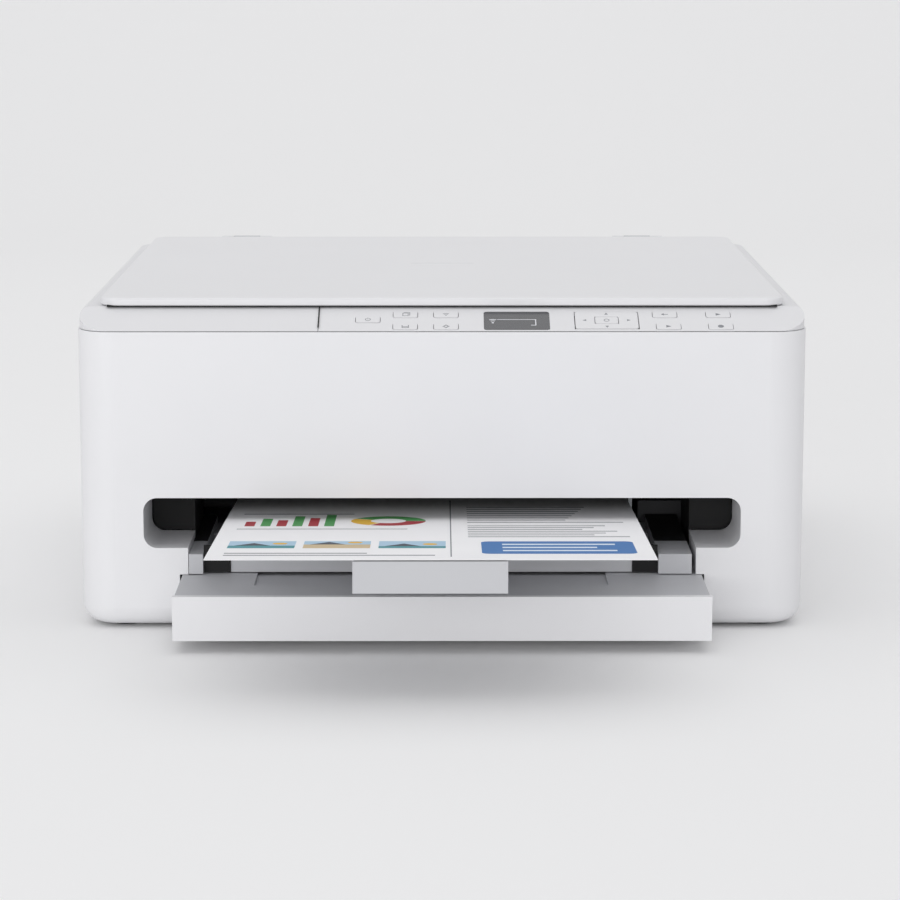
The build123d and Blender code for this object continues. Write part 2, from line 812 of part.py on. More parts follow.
def main_board():
    x = frame_right + sheet_metal + 2.5
    low = foot_height + floor_wall + panel_wall
    back = frame_back + 1
    board = block((x, x + 1.6), (frame_back - board_length, back + 1.6), (low, low + board_height))
    for reach, rise, size in ((110, 54, 20), (75, 34, 14), (40, 64, 12)):
        y = frame_back - reach
        board += block((x + 1.6, x + 3.6), (y, y + size), (low + rise, low + rise + size))
    wide, high = (side / 2 for side in usb_size)
    board += block((usb_x - 8, x + 1.6), (back, back + 1.6), (usb_z - 10, usb_z + 10))
    port = block((usb_x - wide, usb_x + wide), (back, body_depth - 0.5), (usb_z - high, usb_z + high))
    port -= block((usb_x - wide + 1, usb_x + wide - 1), (body_depth - 10, body_depth + 1),
                  (usb_z - high + 1, usb_z + high - 1))
    port += block((usb_x - 2.5, usb_x + 2.5), (body_depth - 11, body_depth - 2), (usb_z - 1.5, usb_z + 1.5))
    return board + port


def feet():
    inset = flange_width - 14
    pads = []
    for side in (-1, 1):
        for y in (inset, body_depth - inset):
            pads.append(post(side * (body_width / 2 - inset), y, (0, foot_height), 9))
    return Compound(children=pads)


def unit_form(inset, z, front_inset=0):
    """The scanner unit's outer block, with its sloping front band, moved in by an inset."""
    half = unit_half - inset
    radius = corner_radius - unit_inset - inset
    form = plate(half, (unit_inset + inset, body_depth - unit_inset - inset), z, radius)
    if inset == 0:
        form = fillet(form.edges().group_by(Axis.Z)[-1], rim_radius)
    cutter = block((-body_width, body_width), (-100, 2 * band_back), (-front_inset, 60))
    return form - on_band(cutter)


def scanner_shell():
    shell = unit_form(0, (unit_bottom, rim_z))
    shell -= unit_form(unit_skirt, (unit_bottom - 1, plate_under), frame_plate)
    back = body_depth - unit_inset
    drop = (back - hinge_y) * math.tan(math.radians(hinge_open)) + fit_gap
    shell -= along_x([(hinge_y, unit_bottom - 1), (hinge_y, unit_bottom), (back + 1, unit_bottom + drop + 1),
                      (back + 1, unit_bottom - 1)], (-body_width, body_width))
    for side in (-1, 1):
        reach = hinge_length / 2 + 4
        middle = side * hinge_x
        shell -= rod((middle - reach, middle + reach), hinge_y, hinge_z, hinge_barrel + fit_gap)
        leg = sorted((side * lid_leg_x - lid_leg_width / 2, side * lid_leg_x + lid_leg_width / 2))
        shell -= block((leg[0] - fit_gap, leg[1] + fit_gap),
                       (lid_axis_y - lid_leg_depth / 2 - fit_gap, lid_axis_y + lid_leg_depth / 2 + fit_gap),
                       (plate_under - 1, rim_z + 1))
        shell -= block((leg[0] - 2 - fit_gap, leg[1] + 2 + fit_gap),
                       (lid_axis_y, lid_axis_y + lid_leg_depth / 2 + 1.2 + fit_gap), (unit_bottom - 1, plate_under))
    shell -= block((-glass_half + glass_seat, glass_half - glass_seat),
                   (glass_front + glass_seat, glass_back - glass_seat), (plate_under - 1, rim_z + 1))
    return shell


def panel_region(gap):
    """The part of the scanner shell that is the control panel, right of its seam."""
    return block((panel_left + gap, body_width), (-1, band_back + 1 - gap), (parting_z - 5, rim_z + 1))


def scan_frame():
    return scanner_shell() - panel_region(0)


def key_hole(place, size, low):
    x, row = place
    return Pos(x, row, low) * extrude(RectangleRounded(size[0], size[1], 1.6), 10)


def split_round(shape, middle, width):
    """Cuts a plate with a hole into the parts left and right of the hole and the bars between them."""
    slab = Pos(middle, 0, 0) * Box(width, 2 * body_depth, 4 * rim_z)
    return Compound(children=[*(shape - slab).solids(), *(shape & slab).solids()])


def control_panel():
    panel = scanner_shell() & panel_region(fit_gap)
    nav_hole = [side + 3 * fit_gap for side in nav_size]
    tool = Part()
    grown = [side + 2 * fit_gap for side in key_size]
    for place in key_places.values():
        tool += key_hole(place, grown, -5)
    tool += Pos(nav_x, nav_row, -5) * extrude(Rectangle(*nav_hole), 10)
    tool += key_hole((display_x, display_row), [side + 2 * running_gap for side in display_size],
                     -display_thickness)
    return split_round(panel - on_band(tool), nav_x, nav_hole[0])


def key(place):
    x, row = place
    under = -frame_plate - 0.1
    cap = Pos(0, 0, under) * extrude(RectangleRounded(*key_size, 1.3), key_proud - under)
    flange = [side + 1.6 for side in key_size]
    cap += Pos(0, 0, under - key_flange) * extrude(Rectangle(*flange), key_flange)
    return on_band(Pos(x, row, 0) * cap)


def nav_pad():
    under = -frame_plate - 0.1
    pad = Pos(0, 0, under) * extrude(RectangleRounded(*nav_size, 1.6), key_proud - under)
    ok_hole = [side + 2 * fit_gap for side in ok_size]
    pad -= Pos(0, 0, -6) * extrude(Rectangle(*ok_hole), 12)
    pad -= Pos(0, 0, under - 0.5) * Box(nav_size[0] - 4, nav_size[1] - 4, 1.6)
    pad += Pos(0, 0, under) * (Box(nav_size[0] - 1, 2, 1) - Box(ok_size[0] + 2, 4, 3))
    return split_round(on_band(Pos(nav_x, nav_row, 0) * pad), nav_x, ok_hole[0])


def nav_pivot():
    low = -frame_plate - 0.6 - 4 * fit_gap
    ring = Pos(0, 0, low) * Box(nav_size[0] - 1, nav_size[1] - 5, 1.2)
    ring -= Pos(0, 0, low) * Box(ok_size[0] + 4, ok_size[1] + 4, 3)
    return on_band(Pos(nav_x, nav_row, 0) * ring)


def ok_key():
    low = -frame_plate - 0.1
    cap = Pos(0, 0, low) * extrude(RectangleRounded(*ok_size, 1.3), key_proud - low)
    return on_band(Pos(nav_x, nav_row, 0) * cap)


def display():
    screen = extrude(RectangleRounded(*display_size, 2), display_thickness - 0.1)
    return on_band(Pos(display_x, display_row, -display_thickness) * screen)


def scan_base():
    y = (base_front, base_back)
    tray = block((-base_half, base_half), y, (base_z, plate_under))
    tray -= block((-base_half + base_wall, base_half - base_wall), (y[0] + base_wall, y[1] - base_wall),
                  (base_z + base_wall, plate_under + 1))
    low = band_z - 6
    shelf_half = body_width / 2 - corner_radius
    tray += block((-shelf_half, shelf_half), (unit_skirt + 3, y[0] + 1), (low - base_wall, low))
    rib_top = plate_under - glass_thickness - 14
    tray += block((-base_half + 1, base_half - 1), (cis_y - cis_rib / 2, cis_y + cis_rib / 2), (base_z + 1, rib_top))
    for side in (-1, 1):
        middle = side * hinge_x
        x = (middle - hinge_length / 2, middle + hinge_length / 2)
        tray += block(x, (y[1] - 1, hinge_y), (hinge_z - hinge_barrel, hinge_z + hinge_barrel))
        tray += rod(x, hinge_y, hinge_z, hinge_barrel)
        tray -= rod((x[0] - 1, x[1] + 1), hinge_y, hinge_z, hinge_pin + running_gap)
        leg = (side * lid_leg_x - lid_leg_width / 2, side * lid_leg_x + lid_leg_width / 2)
        socket = block((leg[0] - 2, leg[1] + 2), (y[1] - 1, lid_axis_y + lid_leg_depth / 2 + 1.2),
                       (lid_leg_z - 2, plate_under))
        socket -= block((leg[0] - fit_gap, leg[1] + fit_gap),
                        (lid_axis_y - lid_leg_depth / 2 - fit_gap, lid_axis_y + lid_leg_depth / 2 + fit_gap),
                        (lid_leg_z, rim_z))
        tray += socket
    return tray


def scan_glass():
    return block((-glass_half, glass_half), (glass_front, glass_back), (plate_under - glass_thickness, plate_under))


def cis_unit():
    top = plate_under - glass_thickness - nip_gap
    rib_top = plate_under - glass_thickness - 14
    bar = block((cis_left, cis_left + cis_width), (glass_front + 4, glass_back - 4), (top - 12, top))
    bar -= block((cis_left + 6, cis_left + 9), (glass_front + 8, glass_back - 8), (top - 3, top + 1))
    bar += block((cis_left, cis_left + cis_width), (cis_y - 10, cis_y + 10), (rib_top - 12, top - 5))
    half = cis_rib / 2 + fit_gap
    return bar - block((cis_left - 1, cis_left + cis_width + 1), (cis_y - half, cis_y + half),
                       (rib_top - 13, rib_top + fit_gap))


lid_axis_z = lid_z + lid_barrel


def lid_hinges():
    legs = []
    for side in (-1, 1):
        middle = side * lid_leg_x
        x = (middle - lid_leg_width / 2, middle + lid_leg_width / 2)
        y = (lid_axis_y - lid_leg_depth / 2, lid_axis_y + lid_leg_depth / 2)
        leg = block(x, y, (lid_leg_z, lid_axis_z))
        leg += rod(x, lid_axis_y, lid_axis_z, lid_barrel)
        leg += rod((x[0] - lid_lug, x[1] + lid_lug), lid_axis_y, lid_axis_z, lid_pin)
        legs.append(leg)
    return Compound(children=legs)


def document_lid():
    lid = plate(lid_half, (lid_front, lid_back), (lid_z, lid_z + lid_thickness), lid_radius)
    lid = fillet(lid.edges().group_by(Axis.Z)[-1], lid_edge)
    lid = chamfer(lid.edges().group_by(Axis.Z)[0], 0.6)
    top = lid_z + lid_thickness
    lid -= Pos(0, mark_y, top - mark_depth) * extrude(RectangleRounded(2 * mark_half, mark_width, 0.6), 2)
    for side in (-1, 1):
        for end in (-1, 1):
            start = side * lid_leg_x + end * (lid_leg_width / 2 + fit_gap)
            x = sorted((start, start + end * (lid_lug - 0.5)))
            lid += block(x, (lid_back - 3, lid_axis_y), (lid_z, lid_z + 2 * lid_barrel))
            lid += rod(x, lid_axis_y, lid_axis_z, lid_barrel)
            lid -= rod((x[0] - 1, x[1] + 1), lid_axis_y, lid_axis_z, lid_pin + running_gap)
    return lid


def lid_pad():
    edge = glass_seat + 1
    return block((-glass_half + edge, glass_half - edge), (glass_front + edge, glass_back - edge),
                 (lid_z - 2.4, lid_z))


def rear_cover():
    y = body_depth - cover_wall
    cover = block((-cover_half, cover_half), (y, body_depth), (cover_low, cover_high))
    inner = turn_radius + turn_gap
    for step in cover_rib_steps:
        middle = tray_x + turn_pitch * step
        x = (middle - cover_rib / 2, middle + cover_rib / 2)
        web = block(x, (turn_y + 10, y), (turn_z - inner, turn_z + inner))
        cover += web - rod((x[0] - 1, x[1] + 1), turn_y, turn_z, inner)
    for side in (-1, 1):
        x = sorted((side * (cover_half - 30), side * (cover_half - 20)))
        cover -= block(x, (body_depth - 1.2, body_depth + 1), (cover_high - 8, cover_high - 3))
    return cover


motor, belt_post = carriage_motor()
nodes = {
    "main_cover": main_cover(),
    "base_pan": base_pan(),
    "rear_panel": rear_panel(),
    "opening_liner": opening_liner(),
    "output_tray": output_tray(),
    "engine_frame": engine_frame() + belt_post,
    "carriage_rail": carriage_rail(),
    "platen": platen(),
    "pinch_holder": pinch_holder(),
    "star_wheel_holder": star_wheel_holder(),
    "turn_guide": turn_guide(),
    "maintenance_unit": maintenance_unit(),
    "carriage_motor": motor,
    "timing_belt": timing_belt(),
    "power_supply": power_supply(),
    "mains_inlet": ac_inlet(),
    "main_board": main_board(),
    "feet": feet(),
    "feed_roller": feed_roller(),
    "idler_gear": idler_gear(),
    "eject_roller": eject_roller(),
    "star_wheels": star_wheels(),
    "carriage": carriage(),
    "cartridge_black": cartridge(0),
    "cartridge_colour": cartridge(1),
    "idler_pulley": idler_pulley(),
    "turn_roller": turn_roller(),
    "pickup_arm": pickup_arm(),
    "pickup_roller": pickup_roller(),
    "cassette_base": cassette_base(),
    "cassette_front": cassette_front(),
    "cassette_cover": cassette_cover(),
    "guide_left": side_guide(-1),
    "guide_right": side_guide(1),
    "length_guide": length_guide(),
    "tongue_1": tongue_1(),
    "tongue_2": tongue_2(),
    "printed_sheet": printed_sheet(),
    "rear_cover": rear_cover(),
    "scan_base": scan_base(),
    "scan_frame": scan_frame(),
    "control_panel": control_panel(),
    "scan_glass": scan_glass(),
    "display": display(),
    "cis_unit": cis_unit(),
    "lid_hinges": lid_hinges(),
    "document_lid": document_lid(),
    "lid_pad": lid_pad(),
    "nav_pivot": nav_pivot(),
    "nav_pad": nav_pad(),
    "ok_key": ok_key(),
}
for name, place in key_places.items():
    nodes[name] = key(place)

os.makedirs("parts", exist_ok=True)
for name, shape in nodes.items():
    export_step(Pos(0, front_y, 0) * shape, f"parts/{name}.step")
    print(name, round(shape.volume))
print(len(nodes), "nodes")
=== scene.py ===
import json
import math

import bmesh
import bpy
from mathutils import Matrix, Vector


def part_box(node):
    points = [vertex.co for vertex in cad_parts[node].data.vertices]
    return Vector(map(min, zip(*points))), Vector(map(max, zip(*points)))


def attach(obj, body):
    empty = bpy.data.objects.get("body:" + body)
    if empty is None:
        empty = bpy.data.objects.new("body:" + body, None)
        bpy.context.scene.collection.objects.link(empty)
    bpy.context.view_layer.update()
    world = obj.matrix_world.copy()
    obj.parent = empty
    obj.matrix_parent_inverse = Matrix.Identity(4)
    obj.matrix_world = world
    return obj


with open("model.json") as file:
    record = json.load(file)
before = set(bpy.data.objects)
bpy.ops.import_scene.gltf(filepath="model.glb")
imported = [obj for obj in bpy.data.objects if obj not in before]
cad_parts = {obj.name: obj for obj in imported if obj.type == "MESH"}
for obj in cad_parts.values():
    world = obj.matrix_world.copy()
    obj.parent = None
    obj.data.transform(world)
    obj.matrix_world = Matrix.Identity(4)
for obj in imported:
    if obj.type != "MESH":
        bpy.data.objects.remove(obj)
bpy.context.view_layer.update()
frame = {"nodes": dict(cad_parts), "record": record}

nodes = frame["nodes"]
mm = 0.001
print("frame loaded:", len(nodes), "nodes")


def srgbToLinear(hexColour):
    channels = []
    for start in (0, 2, 4):
        value = int(hexColour[start:start + 2], 16) / 255
        channels.append(value / 12.92 if value <= 0.04045 else ((value + 0.055) / 1.055) ** 2.4)
    return (*channels, 1.0)


def addNode(tree, kind, settings=None, links=None, **properties):
    node = tree.nodes.new(kind)
    for name, value in properties.items():
        setattr(node, name, value)
    for name, value in (settings or {}).items():
        node.inputs[name].default_value = value
    for name, source in (links or {}).items():
        tree.links.new(source, node.inputs[name])
    return node


def makeMaterial(name, look):
    material = bpy.data.materials.new(name)
    material.use_nodes = True
    tree = material.node_tree
    shader = tree.nodes["Principled BSDF"]
    sockets = {"Roughness": "roughness", "Metallic": "metallic", "IOR": "ior", "Coat Weight": "coat",
               "Coat Roughness": "coatRoughness", "Transmission Weight": "clear", "Alpha": "alpha"}
    for socket, key in sockets.items():
        if key in look:
            shader.inputs[socket].default_value = look[key]
    place = addNode(tree, "ShaderNodeTexCoord")
    patches = addNode(tree, "ShaderNodeTexNoise", {"Scale": 1 / (look["patchSize"] * mm), "Detail": 3.0},
                      {"Vector": place.outputs["Object"]})
    tint = addNode(tree, "ShaderNodeMixRGB", {"Color1": srgbToLinear(look["colour"]),
                                              "Color2": srgbToLinear(look["shade"])},
                   {"Fac": patches.outputs["Fac"]})
    tree.links.new(tint.outputs["Color"], shader.inputs["Base Color"])
    stretch = addNode(tree, "ShaderNodeMapping", {"Scale": look.get("stretch", (1, 1, 1))},
                      {"Vector": place.outputs["Object"]})
    grain = addNode(tree, "ShaderNodeTexNoise", {"Scale": 1 / (look["grainSize"] * mm), "Detail": 2.0},
                    {"Vector": stretch.outputs["Vector"]})
    relief = addNode(tree, "ShaderNodeBump", {"Strength": look["relief"], "Distance": 0.02 * mm},
                     {"Height": grain.outputs["Fac"]})
    tree.links.new(relief.outputs["Normal"], shader.inputs["Normal"])
    return material


finishes = {
    # moulded ABS from a spark-eroded tool: a dull white with a soft highlight along the edges
    "mouldedAbsWhite": {"colour": "E8E8EA", "shade": "E4E4E6", "roughness": 0.42, "ior": 1.54,
                        "patchSize": 60, "grainSize": 0.5, "relief": 0.25},
    # the lid is the same ABS from a finer tool, so it mirrors the light a little more; as it faces the top
    # light, its colour is painted a shade darker than the case: painted shade
    "polishedAbsLidPaintedShade": {"colour": "E5E5E7", "shade": "E2E2E4", "roughness": 0.3, "ior": 1.54,
                       "patchSize": 90, "grainSize": 0.8, "relief": 0.15},
    # the scanner frame's ABS lies open to the sky and the top light, so its colour is painted a touch darker
    # than the case: painted shade, also on the key panel and the keys
    "absFramePaintedShade": {"colour": "E1E1E3", "shade": "DDDDDF", "roughness": 0.42, "ior": 1.54,
                        "patchSize": 60, "grainSize": 0.5, "relief": 0.25},
    # polystyrene of trays: cooler and clearly greyer than the case
    "mouldedStyreneGrey": {"colour": "C4C5C8", "shade": "BDBEC2", "roughness": 0.5, "ior": 1.58,
                           "patchSize": 50, "grainSize": 0.4, "relief": 0.35},
    # black ABS inside the opening, rough so that it swallows the light
    "mouldedAbsBlack": {"colour": "0E0E10", "shade": "09090A", "roughness": 0.7, "ior": 1.46,
                        "patchSize": 40, "grainSize": 0.4, "relief": 0.4},
    # charcoal glass-filled plastic of the inner mechanism
    "filledPlasticCharcoal": {"colour": "3A3B3F", "shade": "303135", "roughness": 0.55, "ior": 1.54,
                              "patchSize": 30, "grainSize": 0.35, "relief": 0.5},
    # galvanised sheet steel: pale patches and fine rolling lines
    "galvanisedSteel": {"colour": "B8BBBE", "shade": "9DA1A5", "roughness": 0.38, "metallic": 1.0,
                        "patchSize": 9, "grainSize": 0.5, "stretch": (0.1, 1, 1), "relief": 0.4},
    # ground nitrile rubber of rollers and feet: nearly black and dull
    "groundRubber": {"colour": "262628", "shade": "1C1C1E", "roughness": 0.82, "ior": 1.52,
                     "patchSize": 12, "grainSize": 0.25, "relief": 0.8},
    # float glass with its faint green, smooth all over
    "floatGlass": {"colour": "DCE8E4", "shade": "D8E6E1", "roughness": 0.05, "ior": 1.52, "clear": 0.85,
                   "patchSize": 200, "grainSize": 4, "relief": 0.02},
    # smoked acrylic window over the display, dark grey with a clear reflection
    "smokedAcrylic": {"colour": "35363B", "shade": "303136", "roughness": 0.14, "ior": 1.49, "coat": 0.35,
                      "coatRoughness": 0.06, "patchSize": 40, "grainSize": 3, "relief": 0.02},
    # coated inkjet paper: bright, flat, with fibres that only just show
    "coatedPaper": {"colour": "F4F4F5", "shade": "EFEFF1", "roughness": 0.7, "ior": 1.5,
                    "patchSize": 25, "grainSize": 0.3, "relief": 0.3},
    # glass epoxy board under its green solder mask
    "solderMask": {"colour": "1F5A34", "shade": "184A2A", "roughness": 0.35, "ior": 1.55,
                   "patchSize": 8, "grainSize": 0.6, "relief": 0.5},
    # closed-cell foam behind a white film: soft and even
    "filmedFoam": {"colour": "F0F0F0", "shade": "E9E9EA", "roughness": 0.75, "ior": 1.45,
                   "patchSize": 30, "grainSize": 0.8, "relief": 0.6},
    # natural acetal of small gears: milky and slightly waxy
    "naturalAcetal": {"colour": "E4E1D6", "shade": "DBD8CB", "roughness": 0.4, "ior": 1.48,
                      "patchSize": 15, "grainSize": 0.4, "relief": 0.3},
    # pad-printed grey ink of the key marks
    "padInkGrey": {"colour": "8C8E93", "shade": "85878C", "roughness": 0.6, "ior": 1.5,
                   "patchSize": 10, "grainSize": 0.3, "relief": 0.2},
    # pale characters in the display window
    "screenPale": {"colour": "E8EAEE", "shade": "E2E4E8", "roughness": 0.4, "ior": 1.5,
                   "patchSize": 10, "grainSize": 0.5, "relief": 0.1},
}
materials = {name: makeMaterial(name, look) for name, look in finishes.items()}
slotFinish = {
    "white_shell": "mouldedAbsWhite", "light_grey": "mouldedStyreneGrey", "black_plastic": "mouldedAbsBlack",
    "dark_grey": "filledPlasticCharcoal", "steel": "galvanisedSteel", "rubber": "groundRubber",
    "glass": "floatGlass", "screen": "smokedAcrylic", "paper": "coatedPaper", "board": "solderMask",
    "foam": "filmedFoam", "acetal": "naturalAcetal",
}
nodeFinish = {"document_lid": "polishedAbsLidPaintedShade", "scan_frame": "absFramePaintedShade",
              "control_panel": "absFramePaintedShade", "nav_pad": "absFramePaintedShade", "ok_key": "absFramePaintedShade"}
nodeFinish.update((part["node"], "absFramePaintedShade") for part in frame["record"]["subparts"]
                  if part["node"].endswith("_key"))


def dressNodes():
    for part in frame["record"]["subparts"]:
        node = nodes[part["node"]]
        finish = nodeFinish.get(part["node"], slotFinish[part["material_slot"]])
        if not node.material_slots:
            node.data.materials.append(materials[finish])
        for materialSlot in node.material_slots:
            materialSlot.material = materials[finish]


dressNodes()
print("finishes on the frame:", len(finishes))


def meshPiece(name, vertices, faces, finish, body):
    mesh = bpy.data.meshes.new(name)
    mesh.from_pydata([Vector(point) for point in vertices], [], faces)
    mesh.update()
    piece = bpy.data.objects.new(name, mesh)
    bpy.context.collection.objects.link(piece)
    mesh.materials.append(materials[finish])
    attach(piece, body)
    return piece


def inkPiece(name, outlines, toWorld, height, finish, body):
    # every outline is a closed loop of flat points; ink stands a hair above its surface as a thin closed slab
    vertices, faces = [], []
    for outline in outlines:
        start, count = len(vertices), len(outline)
        for level in (0.0, height):
            vertices += [toWorld(u, v, level) for u, v in outline]
        faces.append(tuple(range(start + count - 1, start - 1, -1)))
        faces.append(tuple(range(start + count, start + 2 * count)))
        for step in range(count):
            following = (step + 1) % count
            faces.append((start + step, start + following, start + count + following, start + count + step))
    return meshPiece(name, vertices, faces, finish, body)


def bar(left, right, low, high):
    return [(left, low), (right, low), (right, high), (left, high)]


def roundBar(left, right, low, high, radius, steps=6):
    outline = []
    for cornerU, cornerV, turn in ((right - radius, low + radius, -90), (right - radius, high - radius, 0),
                                   (left + radius, high - radius, 90), (left + radius, low + radius, 180)):
        for step in range(steps + 1):
            angle = math.radians(turn + 90 * step / steps)
            outline.append((cornerU + radius * math.cos(angle), cornerV + radius * math.sin(angle)))
    return outline


def ringParts(centreU, centreV, inner, outer, first, last, steps=16):
    # a ring sector as a loop, out along the outer arc and back along the inner one
    angles = [math.radians(first + (last - first) * step / steps) for step in range(steps + 1)]
    loop = [(centreU + outer * math.cos(a), centreV + outer * math.sin(a)) for a in angles]
    return loop + [(centreU + inner * math.cos(a), centreV + inner * math.sin(a)) for a in reversed(angles)]


# the printed sheet: a report page with charts, pictures, grey lines and a blue panel
page = {"ink": 0.03 * mm, "lift": 0.01 * mm, "paper": 0.25 * mm}
sheetLow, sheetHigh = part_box("printed_sheet")
sheetRun = sheetHigh.y - sheetLow.y
sheetTilt = math.atan2(sheetHigh.z - sheetLow.z - page["paper"], sheetRun)
sheetMiddle = (sheetLow.x + sheetHigh.x) / 2


def onSheet(u, v, level):
    # u runs to the right from the sheet's middle line and v back from its front edge, in mm
    along, lift = v * mm, level + page["lift"]
    return (sheetMiddle + u * mm,
            sheetLow.y + along * math.cos(sheetTilt) + lift * math.sin(sheetTilt),
            sheetHigh.z - along * math.sin(sheetTilt) + lift * math.cos(sheetTilt))


inks = {
    "inkBlue": "2F6FB0", "inkGreen": "4E9A57", "inkRed": "A8323B", "inkYellow": "E0B23A", "inkTeal": "3F8C93",
    "inkSlate": "3C4450", "inkSky": "A9C7DC", "inkSand": "C9B48F", "inkText": "7D8086", "inkPale": "DCE6F0",
}
# dye ink soaked into the coating: strong colour, no gloss, slightly uneven in the solid areas
inkLook = {"roughness": 0.65, "ior": 1.5, "patchSize": 6, "grainSize": 0.3, "relief": 0.2}
for inkName, inkHex in inks.items():
    materials[inkName] = makeMaterial(inkName, {"colour": inkHex, "shade": inkHex, **inkLook})


def printOn(name, outlines, ink):
    inkPiece(name, outlines, onSheet, page["ink"], ink, "sheet")


def printPictures():
    tile = {"width": 32, "height": 25, "front": 40, "first": -97, "step": 36, "grounds": (9, 13, 7)}
    sun = {"left": 21, "right": 28, "low": 4, "high": 10, "radius": 2.9}
    peak = {"left": 3, "right": 20, "top": 12, "height": 9}
    skies, grounds, suns, peaks = [], [], [], []
    front, back = tile["front"], tile["front"] + tile["height"]
    for number, ground in enumerate(tile["grounds"]):
        left = tile["first"] + number * tile["step"]
        right, level = left + tile["width"], front + ground
        skies.append(bar(left, right, level, back))
        grounds.append(bar(left, right, front, level))
        suns.append(roundBar(left + sun["left"], left + sun["right"], level + sun["low"], level + sun["high"],
                             sun["radius"]))
        peaks.append([(left + peak["left"], level), (left + peak["right"], level),
                      (left + peak["top"], level + peak["height"])])
    printOn("print_skies", skies, "inkSky")
    printOn("print_grounds", [grounds[0], grounds[2]], "inkTeal")
    printOn("print_field", [grounds[1]], "inkSand")
    inkLevel = page["ink"] * 2
    for name, outlines, ink in (("print_suns", suns, "inkYellow"), ("print_peaks", peaks, "inkSlate")):
        inkPiece(name, outlines, onSheet, inkLevel, ink, "sheet")


def printCharts():
    columns = {"front": 122, "first": -94, "width": 5, "step": 8, "heights": (18, 30, 24, 40, 33, 46)}
    bars = []
    for number, height in enumerate(columns["heights"]):
        left = columns["first"] + number * columns["step"]
        bars.append(bar(left, left + columns["width"], columns["front"], columns["front"] + height))
    printOn("print_bars_red", bars[::2], "inkRed")
    printOn("print_bars_green", bars[1::2], "inkGreen")
    ring = {"u": -22, "v": 143, "inner": 9, "outer": 19}
    shares = {"green": (0, 150), "yellow": (153, 240), "red": (243, 357)}
    for colour, (first, last) in shares.items():
        sector = ringParts(ring["u"], ring["v"], ring["inner"], ring["outer"], first, last)
        printOn("print_ring_" + colour, [sector], "ink" + colour.capitalize())


def printLines():
    # the captions' right ends, front and back edges; a paragraph's ends are ragged by a step and a remainder
    captions = ((2, 14, 16.4), (-30, 21, 23.4), (-12, 110, 112), (-40, 170, 172.4))
    paragraphs = ({"rows": 7, "front": 80, "pitch": 7, "step": 17, "ragged": 23},
                  {"rows": 8, "front": 136, "pitch": 9, "step": 29, "ragged": 31})
    column = {"left": 18, "right": 97, "line": 2.2}
    lines = [bar(-column["right"], right, front, back) for right, front, back in captions]
    for block in paragraphs:
        for row in range(block["rows"]):
            front = block["front"] + row * block["pitch"]
            right = column["right"] - (row * block["step"]) % block["ragged"]
            lines.append(bar(column["left"], right, front, front + column["line"]))
    printOn("print_lines", lines, "inkText")
    printOn("print_divider", [bar(9.2, 9.8, 10, 230)], "inkText")


def printPanel():
    stripe = {"rows": 3, "left": 34, "right": 88, "short": 9, "front": 29, "width": 4, "pitch": 11}
    printOn("print_panel", [roundBar(24, 97, 20, 64, 4)], "inkBlue")
    stripes = []
    for row in range(stripe["rows"]):
        front = stripe["front"] + row * stripe["pitch"]
        stripes.append(bar(stripe["left"], stripe["right"] - stripe["short"] * (row % 2), front,
                           front + stripe["width"]))
    inkPiece("print_panel_lines", stripes, onSheet, page["ink"] * 2, "inkPale", "sheet")


printPictures()
printCharts()
printLines()
printPanel()
print("sheet printed")


# the control band: marks sit on the keys, which lie on its slope
band = {"slope": 20.63, "topBehindLid": 2.14}
bandSlope = math.radians(band["slope"])
bandUp = Vector((0, math.cos(bandSlope), math.sin(bandSlope)))
bandOut = Vector((0, -math.sin(bandSlope), math.cos(bandSlope)))
mark = {"ink": 0.04 * mm, "lift": 0.01 * mm, "faceDepth": 0.05 * mm}


def topCentre(nodeName):
    # the middle of the key's upper face: the vertices that stand furthest out along the band's normal
    vertices = [Vector(v.co) for v in nodes[nodeName].data.vertices]
    reach = max(v.dot(bandOut) for v in vertices)
    face = [v for v in vertices if v.dot(bandOut) > reach - mark["faceDepth"]]
    low = Vector(min(v[i] for v in face) for i in range(3))
    high = Vector(max(v[i] for v in face) for i in range(3))
    middle = (low + high) / 2
    return middle + bandOut * (reach - middle.dot(bandOut))


def onKey(nodeName):
    centre = topCentre(nodeName)

    def toWorld(u, v, level):
        return centre + Vector((u * mm, 0, 0)) + bandUp * (v * mm) + bandOut * (level + mark["lift"])

    return toWorld


def strokeRing(u, v, inner, outer, first=0, last=360):
    # a ring is cut into two halves, so that each outline stays a simple loop
    middle = (first + last) / 2
    return [ringParts(u, v, inner, outer, first, middle), ringParts(u, v, inner, outer, middle, last)]


